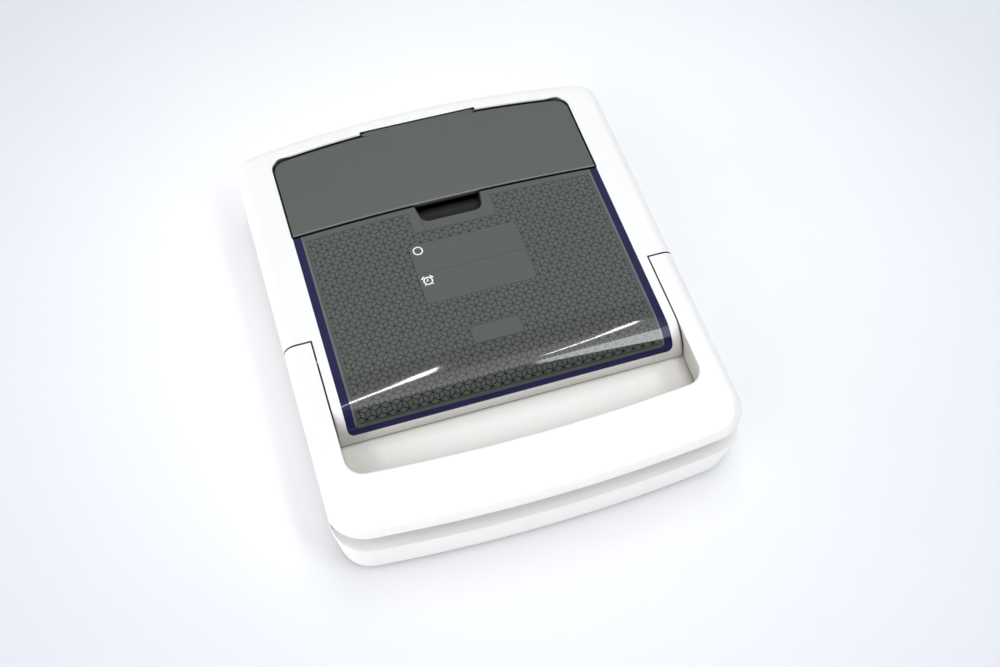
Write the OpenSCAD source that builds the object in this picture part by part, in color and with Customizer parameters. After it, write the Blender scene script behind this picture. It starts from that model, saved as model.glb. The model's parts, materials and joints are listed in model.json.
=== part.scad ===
// Bench device that processes a blot under a hinged lid, worked by a bail handle.
// X runs along the width, -Y is the operator's side, Z is up from the bench.
// Origin: middle of the footprint, on the bench.

/* [Body] */
// Width across the handle's arms
body_w = 222; // [218:1:226]
// Length from the front ledge to the back of the hinge barrel
body_l = 268; // [266:1:272]
// Height of the top face above the bench
body_h = 50; // [50:0.5:52]
// Wall thickness of the moulded shells
wall = 2.6; // [2.2:0.1:2.8]
// How far the front edges bow forwards, over 100 mm of half width
bow_front = 5.5; // [4:0.5:7]
// How far the rear edge bows backwards, over 100 mm of half width
bow_rear = 8.4; // [6:0.2:9]
// Corner radius at the front, seen from above
corner_front = 20; // [18:1:22]
// Corner radius at the rear, seen from above
corner_rear = 14; // [12:1:16]
// Radius of the shoulder between the top and the sides
shoulder = 6.5; // [5:0.5:7]

/* [Lid] */
// Half width of the part of the lid that lies between the arms
lid_half = 95.3; // [94.8:0.1:95.4]
// Radius of the roll that ends the lid at the front
roll_r = 18; // [17:0.5:18]
// Height of the parting line between the lid and the deck
part_z = 35; // [35:0.1:35.2]
// Half width of the panel and of the well cover
panel_half = 90; // [88:0.5:91]
// Thickness of the panel plate
panel_t = 2; // [1.6:0.1:2.2]
// Height at which the panel ends on the roll
panel_end_z = 40.2; // [40:0.2:42]

/* [Well cover] */
// Thickness of the well cover
cover_t = 3.2; // [3:0.1:3.3]
// Front edge of the cover on the centre line
cover_front_y = 59.2; // [59:0.1:60]
// Rear edge of the cover on the centre line
cover_rear_y = 118.7; // [118.5:0.1:119]
// Half width of the hinge zone at the cover's rear edge
cover_hinge_half = 35.4; // [30:0.2:36]
// Half width of the finger notch at the cover's front edge
notch_half = 19.8; // [17:0.2:22]

/* [Handle] */
// Inner faces of the arms, from the centre line
arm_inner = 96; // [95.8:0.1:96.4]
// Front to back width of the grip bar
grip_w = 32.8; // [30:0.2:34]
// Thickness of the grip bar
grip_t = 7.5; // [7:0.5:9]
// Corner radius of the opening behind the grip bar
rim_r = 10; // [8:1:12]
// Height of the handle's pivot
pivot_z = 46; // [45.8:0.1:46.2]

/* [Wells and plates] */
// Number of solution wells, front to back
wells = 4; // [3:1:4]
// Half length of each well along X
well_half = 77.5; // [70:0.5:78]

/* [Hidden] */
$fn = 48;

half_w = body_w / 2;
front_y = -body_l / 2;
knuckle_r = 4.2;
hinge_pin_r = 1.6;
hinge_bush_r = 2.2;
axis_y = body_l / 2 - knuckle_r;
axis_z = part_z - 0.3;
rear_y = axis_y + 1.4;
far = 400;

// The base: a lower shell on feet, and a deck that slopes down to the ledge
foot_h = 2;
seam_z = 28.6;
deck_z = part_z - 0.6;
deck_t = 2.4;
slope_y = front_y + 64;
ledge_z = 30;
deck_slope = (deck_z - ledge_z) / (slope_y - front_y);
stage_z = part_z - 3.6;
stage_t = 1.6;
pocket = [82, -46, 113];
feet_xy = [[84, front_y + 30], [84, rear_y - 34]];
boss_xy = [[98, front_y + 34], [100, 0], [92, rear_y - 20]];
boss_r = 3.6;
bumper_r = 2;
screw_r = 1.5;
post_z = 20;

// The groove between the base's two halves, and the edge of the deck above it
groove_h = 0.4;
groove_d = 1.4;
deck_edge = 0.4;
bumper_x = 88;

// The lid's front edge is a quarter roll about this centre
roll_y = slope_y + 17.4;
roll_z = body_h - roll_r;
lid_skin = 4.4;
lid_ceiling = body_h - lid_skin;
arm_end_y = -12.4;
cover_gap = 0.6;
film_t = 0.4;
film_half = 85.6;
film_end_z = panel_end_z + 3.1;
panel_r = 3.5;
film_r = 2.5;
seat_play = 0.15;

// The well cover's hinge, close under the top face
cover_bow_front = 3.65;
cover_bow_rear = 8.65;
cover_axis_y = cover_rear_y - 0.7;
cover_axis_z = body_h - 1.3;
cover_knuckle_r = 1.6;
cover_pin_r = 0.6;
cover_knuckle_half = cover_hinge_half - 2.2;
bracket_x = [cover_hinge_half - 1.9, cover_hinge_half - 0.4];
bracket_r = 1.3;
shelf_z = body_h - cover_t - 0.4;
shelf_under_z = shelf_z - 4.4;
hollow_end_y = cover_front_y - 20.4;

// The gaps round the cover, and the finger notch with the tray that lines it
front_gap = 1.5;
swing_chamfer = 0.55;
notch_l = 13.5;
notch_taper = 2;
notch_r = 4.5;
notch_z = body_h - 6;
notch_end_y = cover_front_y + 0.7;
tray_t = 0.9;

// The wells' insert hangs by a flange in the shelf under the cover
insert_y0 = 64.6;
insert_y1 = 111.4;
insert_half = 80.4;
flange_half = 87.6;
flange_t = 2;
insert_play = 0.4;
insert_floor_z = stage_z + 2;
well_pitch = 11.4;
well_w = 9.4;

// The handle
bar_front_y = front_y + 2.1;
rim_y = bar_front_y + grip_w;
grip_z = body_h - grip_t;
bow_rim = 4.96;
rim_round = 1.2;
gap_half = 99;
gap_depth = 7;
gap_end_y = front_y + 25;
pocket_half = 88;
pocket_front = 8;
pocket_rear = 3;
pocket_play = 0.2;
arm_gap = 1;
arm_tail_y = arm_end_y - arm_gap;
pivot_y = arm_tail_y - 11;
pivot_r = 1.6;
bush_r = 2.7;
bush_end = 8.4;
pin_x = [91, 104];
grip_screw_x = [-60, 0, 60];
magnet_y = -84;
magnet_r = 4;

// The pressure parts that hang through the liner
liner_z = part_z + 0.6;
liner_t = 2.4;
liner_end_y = 121;
glass_y = [-42, 46];
glass_half = 74;
glass_z = part_z - 2;
glass_t = 3.4;
carrier_rim = 3.6;
flange_z = liner_z + liner_t;
bar_y = [54, 59.4];
spring_r = 3.6;
wire_r = 0.35;
plate_spring_xy = [[58, -30], [58, 34]];
bar_spring_x = 52;
liner_screw_xy = [[86, -40], [86, 50], [100, 12], [100, 96]];

white = [0.96, 0.96, 0.95];
grey = [0.36, 0.38, 0.38];
navy = [0.13, 0.12, 0.34];
steel = [0.72, 0.73, 0.75];
rubber = [0.15, 0.15, 0.16];
milky = [0.85, 0.87, 0.88];

// Points along an elliptical arc
function arc(cx, cy, rx, ry, a0, a1, n = 8) =
    [for (i = [0 : n]) let (a = a0 + (a1 - a0) * i / n) [cx + rx * cos(a), cy + ry * sin(a)]];

// Height of a bowed edge's curve at x, for a bow given over 100 mm
function bowed(x, bow) = bow * pow(x / 100, 2);

// Plan of the body, inset by dx at the sides, df at the front and dr at the rear
function plan(dx = 0, df = 0, dr = 0, y0 = front_y, y1 = rear_y) =
    let (
        cf = half_w - corner_front,
        cr = half_w - corner_rear,
        af = atan(bow_front * cf / 5000),
        ar = atan(bow_rear * cr / 5000),
        yf = y0 + bowed(cf + corner_front * sin(af), bow_front) + corner_front * cos(af),
        yr = y1 - bowed(cr + corner_rear * sin(ar), bow_rear) - corner_rear * cos(ar),
        m = 14
    )
    concat(
        arc(cf, yf, corner_front - dx, corner_front - df, af - 90, 0),
        arc(cr, yr, corner_rear - dx, corner_rear - dr, 0, 90 - ar),
        [for (i = [1 : m - 1]) let (x = cr * (1 - 2 * i / m)) [x, y1 - dr - bowed(x, bow_rear)]],
        arc(-cr, yr, corner_rear - dx, corner_rear - dr, 90 + ar, 180),
        arc(-cf, yf, corner_front - dx, corner_front - df, 180, 270 - af),
        [for (i = [1 : m - 1]) let (x = cf * (2 * i / m - 1)) [x, y0 + df + bowed(x, bow_front)]]
    );

// One ring of a loft: a plan lifted to the height z
function ring(z, points) = [for (p = points) [p.x, p.y, z]];

// Height of the deck's top at y: level under the lid, falling to the ledge
function deck_top(y) = y >= slope_y ? deck_z : deck_z - deck_slope * (slope_y - y);

// Plan of the deck, with a point on each side where its top starts to fall
function deck_plan(d) =
    let (p = plan(d, d, d), n = len(p))
    [for (i = [0 : n - 1])
        let (q = p[(i + 1) % n])
        each (p[i].y - slope_y) * (q.y - slope_y) < 0 ? [p[i], [p[i].x, slope_y]] : [p[i]]];

// Ring that follows the deck's top at a given depth below it
function deck_ring(depth, d) = [for (p = deck_plan(d)) [p.x, p.y, deck_top(p.y) - depth]];

// Solid through a stack of rings that run anticlockwise and have equal counts
module loft(rings) {
    n = len(rings[0]);
    k = len(rings);
    walls = [
        for (j = [0 : k - 2], i = [0 : n - 1])
            let (a = j * n + i, b = j * n + (i + 1) % n)
            each [[a, a + n, b + n], [a, b + n, b]]
    ];
    floor_face = [[for (i = [0 : n - 1]) i]];
    roof_face = [[for (i = [n - 1 : -1 : 0]) (k - 1) * n + i]];
    polyhedron([for (r = rings, p = r) p], concat(floor_face, walls, roof_face), convexity = 6);
}

// Extrudes a side view, drawn as (y, z), across the width
module across(width, x = 0) {
    translate([x, 0, 0])
        rotate([90, 0, 90])
            linear_extrude(width, center = true)
                children();
}

// Extrudes a front view, drawn as (x, z), over a length in y
module along(y0, y1) {
    translate([0, y1, 0])
        rotate([90, 0, 0])
            linear_extrude(y1 - y0)
                children();
}

// Box from one corner to the other
module block(lo, hi) {
    translate(lo)
        cube(hi - lo);
}

// Rounded rectangle seen from above
module pad_2d(x, y0, y1, r) {
    polygon(concat(
        arc(x - r, y0 + r, r, r, -90, 0, 5), arc(x - r, y1 - r, r, r, 0, 90, 5),
        arc(r - x, y1 - r, r, r, 90, 180, 5), arc(r - x, y0 + r, r, r, 180, 270, 5)
    ));
}

// Rounded plate between two heights
module pad(x, y0, y1, r, z0, z1) {
    translate([0, 0, z0])
        linear_extrude(z1 - z0)
            pad_2d(x, y0, y1, r);
}

// Draws its children on both sides of the centre line
module both() {
    children();
    mirror([1, 0, 0])
        children();
}

// Rod along X between two x values, about a given axis
module rod(r, x0, x1, y, z) {
    translate([x0, y, z])
        rotate([0, 90, 0])
            cylinder(r = r, h = x1 - x0);
}

// Side view of everything under a surface that runs a step above the deck
module deck_side(step, low = 0) {
    polygon([
        [-far, low], [far, low], [far, deck_z + step],
        [slope_y, deck_z + step], [front_y - 10, deck_top(front_y - 10) + step],
        [-far, deck_top(front_y - 10) + step]
    ]);
}

// Side view of the lid's skin between two depths below its outer face
module skin_side(depth0, depth1, end_z, back_y) {
    a_end = 180 - asin((end_z - roll_z) / roll_r);
    polygon(concat(
        [[back_y, body_h - depth1], [back_y, body_h - depth0]],
        arc(roll_y, roll_z, roll_r - depth0, roll_r - depth0, 90, a_end, 20),
        arc(roll_y, roll_z, roll_r - depth1, roll_r - depth1, a_end, 90, 20)
    ));
}

// Side view of the whole lid's front part, inset by a depth
module lid_side(depth, low) {
    a_end = 180 - asin((low - roll_z) / (roll_r - depth));
    polygon(concat(
        [[far, low], [far, body_h - depth]],
        arc(roll_y, roll_z, roll_r - depth, roll_r - depth, 90, a_end, 16)
    ));
}

// Plan of the well cover, grown by a margin, up to its bowed front and rear edges
function cover_plan(grow = 0, drear = 0, r = 8) =
    let (
        hx = panel_half + grow,
        yr = cover_rear_y + grow - drear,
        a = atan(cover_bow_rear * (hx - r) / 5000),
        cy = yr - bowed(hx - r + r * sin(a), cover_bow_rear) - r * cos(a),
        m = 12
    )
    concat(
        [for (i = [0 : m]) let (x = hx * (2 * i / m - 1)) [x, cover_front_y - grow - bowed(x, cover_bow_front)]],
        arc(hx - r, cy, r, r, 0, 90 - a, 6),
        [for (i = [1 : m - 1]) let (x = (hx - r) * (1 - 2 * i / m)) [x, yr - bowed(x, cover_bow_rear)]],
        arc(r - hx, cy, r, r, 90 + a, 180, 6)
    );

// Intervals of the lid hinge's knuckles: even ones belong to the base
knuckles = [for (i = [0 : 4]) [-45 + 18.2 * i, -45 + 18.2 * i + 17.2]];

module hinge_barrel(start, r) {
    for (i = [start : 2 : 4])
        rod(r, knuckles[i][0], knuckles[i][1], axis_y, axis_z);
}

module hinge_clearance(start) {
    for (i = [start : 2 : 4])
        rod(knuckle_r + 0.6, knuckles[i][0] - 0.6, knuckles[i][1] + 0.6, axis_y, axis_z);
}

// Helical wire: a six-sided section swept about the Z axis
module coil(r, wire, height, turns) {
    steps = 16 * turns;
    sides = 6;
    function section(i) =
        let (t = i / steps, a = 360 * turns * t, z = wire + (height - 2 * wire) * t)
        [for (j = [0 : sides - 1]) let (b = 360 * j / sides)
            [(r + wire * cos(b)) * cos(a), (r + wire * cos(b)) * sin(a), z + wire * sin(b)]];
    points = [for (i = [0 : steps]) each section(i)];
    walls = [
        for (i = [0 : steps - 1], j = [0 : sides - 1])
            let (a = i * sides + j, b = i * sides + (j + 1) % sides)
            each [[a, a + sides, b + sides], [a, b + sides, b]]
    ];
    ends = [[for (j = [0 : sides - 1]) j], [for (j = [sides - 1 : -1 : 0]) steps * sides + j]];
    polyhedron(points, concat(walls, ends), convexity = 10);
}

// Countersunk screw pointing up, its head's face at the origin
module screw(length, r = screw_r) {
    cylinder(r = 2 * r, h = 1.6);
    cylinder(r = r, h = length);
}

module base_shell() {
    drop = 3;
    color(white)
        difference() {
            union() {
                difference() {
                    loft(concat(
                        [for (i = [0 : 3]) let (a = 30 * i, d = drop + 2.6 * (1 - sin(a)))
                            ring(foot_h + 2.6 * (1 - cos(a)), plan(d, d, d))],
                        [
                            ring(seam_z - 0.6, plan(0.3, 0.3, 0.3)),
                            ring(seam_z - groove_h / 2, plan(0.6, 0.6, 0.6)),
                            ring(seam_z - groove_h / 2, plan(groove_d, groove_d, groove_d)),
                            ring(seam_z, plan(groove_d, groove_d, groove_d))
                        ]
                    ));
                    loft([
                        ring(foot_h + wall, plan(drop + wall, drop + wall, drop + wall)),
                        ring(seam_z + 1, plan(wall + 1, wall + 1, wall + 1))
                    ]);
                }
                both()
                    for (p = boss_xy)
                        translate([p.x, p.y, foot_h + 1])
                            cylinder(r = boss_r, h = post_z - foot_h - 1);
                for (x = [-60, 0, 60])
                    block([x - 0.8, -100, foot_h + 1], [x + 0.8, 108, foot_h + 9]);
                for (y = [-60, 20, 90])
                    block([-92, y - 0.8, foot_h + 1], [92, y + 0.8, foot_h + 7]);
            }
            both() {
                for (p = boss_xy)
                    translate([p.x, p.y, 0]) {
                        cylinder(r = 2 * screw_r + 0.2, h = foot_h + 3);
                        cylinder(r = screw_r + 0.1, h = far);
                    }
                for (p = feet_xy)
                    translate([p.x, p.y, 0])
                        cylinder(r = 9.2, h = foot_h + 0.8);
            }
        }
}

module base_deck() {
    color(white)
        difference() {
            union() {
                difference() {
                    intersection() {
                        loft([
                            ring(seam_z, deck_plan(groove_d)), ring(seam_z + groove_h / 2, deck_plan(groove_d)),
                            ring(seam_z + groove_h / 2, deck_plan(0)), deck_ring(deck_edge, 0),
                            deck_ring(-deck_edge, 2 * deck_edge), ring(deck_z + 4, deck_plan(2 * deck_edge))
                        ]);
                        across(far)
                            deck_side(0);
                    }
                    intersection() {
                        translate([0, 0, seam_z - 1])
                            linear_extrude(far)
                                polygon(plan(wall + 0.4, wall + 0.4, wall + 0.4));
                        across(far)
                            deck_side(-deck_t);
                    }
                }
                pad(pocket[0] + deck_t, pocket[1] - deck_t, pocket[2] + deck_t, 7,
                    stage_z - stage_t - deck_t, deck_z - 1);
                both()
                    for (p = boss_xy)
                        translate([p.x, p.y, post_z])
                            cylinder(r = boss_r, h = deck_top(p.y) - 1 - post_z);
                hinge_barrel(0, knuckle_r);
            }
            pad(pocket[0], pocket[1], pocket[2], 5, stage_z - stage_t, far);
            hinge_clearance(1);
            rod(hinge_pin_r, knuckles[0][0] - 1, knuckles[4][1] + 1, axis_y, axis_z);
            both() {
                for (p = boss_xy)
                    translate([p.x, p.y, post_z - 1])
                        cylinder(r = screw_r - 0.1, h = 8);
                translate([striker_x(), magnet_y, deck_top(magnet_y) - 2])
                    cylinder(r = magnet_r + 0.5, h = far);
                translate([bumper_x, slope_y + 2, deck_z - 1])
                    cylinder(r = bumper_r, h = far);
            }
        }
}

function striker_x() = arm_inner + 7.5;

module stage_plate() {
    color(milky)
        difference() {
            union() {
                pad(pocket[0] - 0.4, pocket[1] + 0.4, pocket[2] - 0.4, 4.6, stage_z - stage_t, stage_z);
                both()
                    for (y = [-43, 60])
                        translate([79, y, stage_z - 0.5])
                            cylinder(r = 1.6, h = 1.7);
            }
            both()
                for (y = [-30, 100])
                    translate([77, y, stage_z - 0.8])
                        cylinder(r = 2.6, h = 2);
        }
}

module rubber_feet() {
    color(rubber)
        both()
            for (p = feet_xy)
                translate([p.x, p.y, 0])
                    rotate_extrude()
                        polygon([[0, 0], [8.2, 0], [9, 0.8], [9, foot_h + 0.8], [0, foot_h + 0.8]]);
}

module base_screws() {
    color(steel)
        both()
            for (p = boss_xy)
                translate([p.x, p.y, foot_h + 1.2])
                    intersection() {
                        screw(22.6, screw_r - 0.1);
                        cylinder(r = 4, h = post_z + 3 - foot_h - 1.2);
                    }
}

module catch_strikers() {
    color(steel)
        both()
            translate([striker_x(), magnet_y, deck_top(magnet_y) - 2])
                cylinder(r = magnet_r + 0.5, h = 1.5);
}

module lid_bumpers() {
    color(rubber)
        both()
            translate([bumper_x, slope_y + 2, deck_z - 1])
                cylinder(r = bumper_r, h = part_z - deck_z + 1);
}

module lid_hinge_pin() {
    color(steel)
        rod(hinge_pin_r, knuckles[0][0] + 1, knuckles[4][1] - 1, axis_y, axis_z);
}

// Outer form of the lid: the full plan behind the arms, and the roll between them
module lid_form(depth, low) {
    intersection() {
        loft(concat(
            [ring(low, plan(depth, depth, depth))],
            [for (i = [0 : 6]) let (a = 15 * i, d = depth + shoulder * (1 - cos(a)))
                ring(body_h - depth - shoulder + shoulder * sin(a), plan(d, d, d))]
        ));
        block([-far, arm_end_y + depth, 0], [far, far, far]);
    }
    intersection() {
        across(2 * (lid_half - depth))
            lid_side(depth, low);
        block([-far, -far, 0], [far, arm_end_y + depth + 1, far]);
    }
}

// Hollow under the lid's top: deeper under the panel than under the well cover
module lid_hollow() {
    intersection() {
        union() {
            intersection() {
                translate([0, 0, part_z - 1])
                    linear_extrude(far)
                        polygon(plan(wall, wall, wall));
                block([-far, arm_end_y + wall, 0], [far, far, far]);
            }
            intersection() {
                across(2 * (lid_half - wall))
                    lid_side(lid_skin, part_z - 1);
                block([-far, -far, 0], [far, arm_end_y + wall + 1, far]);
            }
        }
        union() {
            block([-far, -far, 0], [far, hollow_end_y, lid_ceiling]);
            block([-far, -far, 0], [far, far, shelf_under_z]);
        }
    }
}

// Plan of the finger notch, narrower towards the front, grown by a margin and closed at y1
function notch_plan(grow, y1) =
    let (
        a = atan(notch_taper / notch_l),
        r = notch_r + grow,
        cx = notch_half - notch_taper - notch_r,
        cy = cover_front_y - notch_l + notch_r,
        hx = cx + r * cos(a) + (y1 - cy + r * sin(a)) * tan(a)
    )
    concat([[hx, y1], [-hx, y1]], arc(-cx, cy, r, r, 180 + a, 270, 6), arc(cx, cy, r, r, 270, 360 - a, 6));

module lid_shell() {
    color(white)
        difference() {
            union() {
                difference() {
                    lid_form(0, part_z);
                    lid_hollow();
                }
                both() {
                    for (p = liner_screw_xy)
                        translate([p.x, p.y, liner_z + liner_t])
                            cylinder(r = 3.2, h = lid_ceiling + 0.2 - liner_z - liner_t);
                    rod(4.6, 84, lid_half - 1, pivot_y, pivot_z - 2);
                }
                hinge_barrel(1, knuckle_r);
            }
            hinge_clearance(0);
            rod(hinge_bush_r, knuckles[1][0] - 1, knuckles[3][1] + 1, axis_y, axis_z);
            intersection() {
                across(2 * (panel_half + seat_play))
                    skin_side(-1, panel_t + 0.05, panel_end_z - seat_play, cover_front_y + 1);
                along(-far, far)
                    front_view(panel_half + seat_play, panel_end_z - seat_play, panel_r);
            }
            translate([0, 0, shelf_z])
                linear_extrude(body_h - swing_chamfer - shelf_z + 0.1)
                    polygon(cover_plan(cover_gap));
            loft([
                ring(body_h - swing_chamfer, cover_plan(cover_gap + 0.02)),
                ring(body_h + 0.1, cover_plan(cover_gap + 0.1, -swing_chamfer - 0.15))
            ]);
            linear_extrude(far)
                polygon(notch_plan(tray_t + seat_play, notch_end_y + tray_t + seat_play));
            pad(flange_half + insert_play, insert_y0 - 2.6, insert_y1 + 2.6, 4, shelf_z - flange_t, far);
            pad(insert_half + 0.6, insert_y0 - 0.6, insert_y1 + 0.6, 3, 0, far);
            block([-cover_hinge_half, cover_axis_y - 3, shelf_z - 0.6],
                  [cover_hinge_half, cover_axis_y + cover_knuckle_r + 0.5, far]);
            both() {
                for (p = liner_screw_xy)
                    translate([p.x, p.y, 0])
                        cylinder(r = 1.1, h = 45);
                rod(pivot_r, pin_x[0], far, pivot_y, pivot_z);
                translate([bar_spring_x, (bar_y[0] + bar_y[1]) / 2, shelf_under_z - 1])
                    cylinder(r = 2.8, h = 3);
            }
            for (x = [-1, 1], p = plate_spring_xy)
                translate([x * p.x, p.y, lid_ceiling - 1])
                    cylinder(r = spring_r + 0.8, h = 1.6);
        }
}

module lid_hinge_bushes() {
    color(rubber)
        for (i = [1, 3])
            difference() {
                rod(hinge_bush_r, knuckles[i][0], knuckles[i][1], axis_y, axis_z);
                rod(hinge_pin_r + 0.05, knuckles[i][0] - 1, knuckles[i][1] + 1, axis_y, axis_z);
            }
}

module lid_liner() {
    color(white)
        difference() {
            intersection() {
                union() {
                    translate([0, 0, liner_z])
                        linear_extrude(liner_t)
                            intersection() {
                                polygon(plan(wall + 0.3, wall + 0.3, wall + 4));
                                union() {
                                    translate([-half_w, arm_end_y + wall + 0.3])
                                        square([body_w, 200]);
                                    translate([-lid_half + wall + 0.3, slope_y + 5.8])
                                        square([2 * (lid_half - wall - 0.3), 80]);
                                }
                            }
                }
                block([-far, -far, 0], [far, liner_end_y, far]);
            }
            window(glass_half + 2, glass_y[0] - 2, glass_y[1] + 2);
            window(glass_half + 2, bar_y[0] - 0.6, bar_y[1] + 0.6);
            window(insert_half + 0.6, insert_y0 - 0.6, insert_y1 + 0.6);
            both()
                for (p = liner_screw_xy)
                    translate([p.x, p.y, 0]) {
                        cylinder(r = 1.3, h = far);
                        cylinder(r = 2.4, h = liner_z + 1.2);
                    }
        }
}

// Window through the liner
module window(x, y0, y1) {
    pad(x, y0, y1, 1.5, liner_z - 1, liner_z + liner_t + 4);
}

module liner_screws() {
    color(steel)
        both()
            for (p = liner_screw_xy)
                translate([p.x, p.y, liner_z + 0.1]) {
                    cylinder(r = 2.2, h = 1.1);
                    cylinder(r = 1.1, h = 7);
                }
}

// Front view that rounds the lower corners of the panel and of the film
module front_view(half, low, r) {
    polygon(concat(
        [[half, far], [-half, far]],
        arc(r - half, low + r, r, r, 180, 270, 6), arc(half - r, low + r, r, r, 270, 360, 6)
    ));
}

// Everything in front of a bowed line that runs a gap ahead of the cover, up to the height z
module ahead_of_cover(gap, z = far) {
    linear_extrude(z)
        polygon(concat(
            [for (i = [0 : 12]) let (x = panel_half * (1 - i / 6))
                [x, cover_front_y - gap - bowed(x, cover_bow_front)]],
            [[-panel_half, -far], [panel_half, -far]]
        ));
}

// Plate under the film, with a low rear edge that closes the gap in front of the cover
module panel_plate() {
    color(navy)
        difference() {
            union() {
                intersection() {
                    across(2 * panel_half)
                        skin_side(0, panel_t, panel_end_z, cover_front_y);
                    union() {
                        ahead_of_cover(front_gap);
                        ahead_of_cover(cover_gap + 0.05, body_h - panel_t + 0.6);
                    }
                    along(-far, far)
                        front_view(panel_half, panel_end_z, panel_r);
                }
                notch_tray(notch_end_y + tray_t, shelf_z - 0.3);
                notch_tray(cover_front_y - front_gap, body_h - panel_t + 0.3);
            }
            translate([0, 0, notch_z])
                linear_extrude(far)
                    polygon(notch_plan(0, notch_end_y));
            intersection() {
                across(far)
                    skin_side(-1, film_t, film_end_z, cover_front_y + 1);
                along(-far, far)
                    front_view(film_half, film_end_z, film_r);
            }
        }
}

// Block that the finger notch is sunk into, back to y1 and up to the height z
module notch_tray(y1, z) {
    translate([0, 0, notch_z - tray_t])
        linear_extrude(z - notch_z + tray_t)
            polygon(notch_plan(tray_t, y1));
}

module label_film() {
    color(grey)
        intersection() {
            across(2 * film_half)
                skin_side(0, film_t, film_end_z, cover_front_y);
            difference() {
                ahead_of_cover(front_gap);
                linear_extrude(far)
                    polygon(notch_plan(0, cover_front_y));
            }
            along(-far, far)
                front_view(film_half, film_end_z, film_r);
        }
}

module well_insert() {
    color(milky)
        difference() {
            union() {
                pad(flange_half, insert_y0 - 2.2, insert_y1 + 2.2, 3.6, shelf_z - flange_t, shelf_z - 0.1);
                pad(insert_half, insert_y0, insert_y1, 2.4, insert_floor_z, shelf_z - 1);
            }
            for (i = [0 : wells - 1]) {
                y = (insert_y0 + insert_y1) / 2 + (i - (wells - 1) / 2) * well_pitch;
                across(2 * well_half)
                    polygon([
                        [y - well_w / 2, far], [y - well_w / 2, insert_floor_z + 3.6],
                        [y - 0.8, insert_floor_z + 1.4], [y - 0.8, 0], [y + 0.8, 0],
                        [y + 0.8, insert_floor_z + 1.4], [y + well_w / 2, insert_floor_z + 3.6],
                        [y + well_w / 2, far]
                    ]);
            }
        }
}

module cover_hinge_brackets() {
    color(rubber)
        both()
            difference() {
                union() {
                    rod(bracket_r, bracket_x[0], bracket_x[1], cover_axis_y, cover_axis_z);
                    block([bracket_x[0], cover_axis_y - bracket_r, shelf_z - 0.6],
                          [bracket_x[1], cover_axis_y + bracket_r, cover_axis_z]);
                    block([bracket_x[0] - 6, cover_axis_y - 2.8, shelf_z - 0.6],
                          [bracket_x[1], cover_axis_y + bracket_r, shelf_z - 0.2]);
                }
                rod(cover_pin_r, -far, far, cover_axis_y, cover_axis_z);
            }
}

module cover_hinge_pin() {
    color(steel)
        rod(cover_pin_r, -bracket_x[1], bracket_x[1], cover_axis_y, cover_axis_z);
}

module handle_pin(side) {
    color(steel)
        rod(pivot_r, min(side * pin_x), max(side * pin_x), pivot_y, pivot_z);
}

module handle_pin_left() {
    handle_pin(-1);
}

module handle_pin_right() {
    handle_pin(1);
}

module plate_springs() {
    color(steel)
        for (x = [-1, 1], p = plate_spring_xy)
            translate([x * p.x, p.y, carrier_top() - 1])
                coil(spring_r, wire_r, lid_ceiling + 0.6 - carrier_top() + 1, 4);
}

module bar_springs() {
    color(steel)
        for (x = [-1, 1])
            translate([x * bar_spring_x, (bar_y[0] + bar_y[1]) / 2, bar_top()])
                coil(1.8, 0.3, shelf_under_z + 2 - bar_top(), 3);
}

function carrier_top() = flange_z + 2;
function bar_top() = flange_z + 1.2;

module plate_carrier() {
    color(milky)
        difference() {
            union() {
                pad(glass_half + 1.4, glass_y[0] - 1.4, glass_y[1] + 1.4, 1.2, glass_z + glass_t, carrier_top());
                pad(glass_half + carrier_rim + 1.4, glass_y[0] - 5, glass_y[1] + 5, 3, flange_z, carrier_top());
            }
            pad(50, glass_y[0] + 8, glass_y[1] - 8, 3, glass_z + glass_t + 1.4, far);
            for (x = [-1, 1], p = plate_spring_xy)
                translate([x * p.x, p.y, carrier_top() - 1])
                    cylinder(r = spring_r + 0.8, h = far);
        }
}

module pressure_glass() {
    color([0.75, 0.85, 0.85])
        pad(glass_half, glass_y[0], glass_y[1], 1.5, glass_z, glass_z + glass_t);
}

module pressure_bar() {
    color(milky) {
        block([-glass_half, bar_y[0], glass_z + 1.2], [glass_half, bar_y[1], bar_top()]);
        both()
            block([glass_half - 1, bar_y[0], flange_z], [glass_half + 5, bar_y[1], bar_top()]);
    }
}

module bar_pad() {
    color(rubber)
        across(2 * glass_half)
            polygon(concat(
                [[bar_y[1] - 0.6, glass_z + 1.2], [bar_y[0] + 0.6, glass_z + 1.2]],
                arc((bar_y[0] + bar_y[1]) / 2, glass_z + 1.2, 2.1, 1.4, 180, 360, 8)
            ));
}

// Cover with a narrow rounding at its front and sides, and a long one behind that clears the lid as it turns
module well_cover() {
    h = cover_t - 0.2;
    color(grey)
        difference() {
            union() {
                difference() {
                    loft(concat(
                        [ring(body_h - cover_t, cover_plan(-0.2))],
                        [for (i = [0 : 6]) let (a = 15 * i, s = 1 - cos(a))
                            ring(body_h - h + h * sin(a), cover_plan(-0.6 * s, 1.8 * s))]
                    ));
                    block([-cover_hinge_half, cover_axis_y - 1.9, 0], [cover_hinge_half, far, far]);
                }
                block([-cover_knuckle_half, cover_axis_y - 2, body_h - cover_t],
                      [cover_knuckle_half, cover_axis_y, body_h]);
                intersection() {
                    rod(cover_knuckle_r, -cover_knuckle_half, cover_knuckle_half, cover_axis_y, cover_axis_z);
                    block([-far, -far, 0], [far, far, body_h]);
                }
            }
            rod(cover_pin_r + 0.05, -far, far, cover_axis_y, cover_axis_z);
        }
}

module cover_seal() {
    z = body_h - cover_t;
    color(rubber)
        difference() {
            pad(flange_half - 1, insert_y0 - 1.2, insert_y1 + 1.2, 3, z - 0.3, z);
            pad(flange_half - 3, insert_y0 + 0.2, insert_y1 - 0.2, 2, z - 1, z + 1);
        }
}

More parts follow.
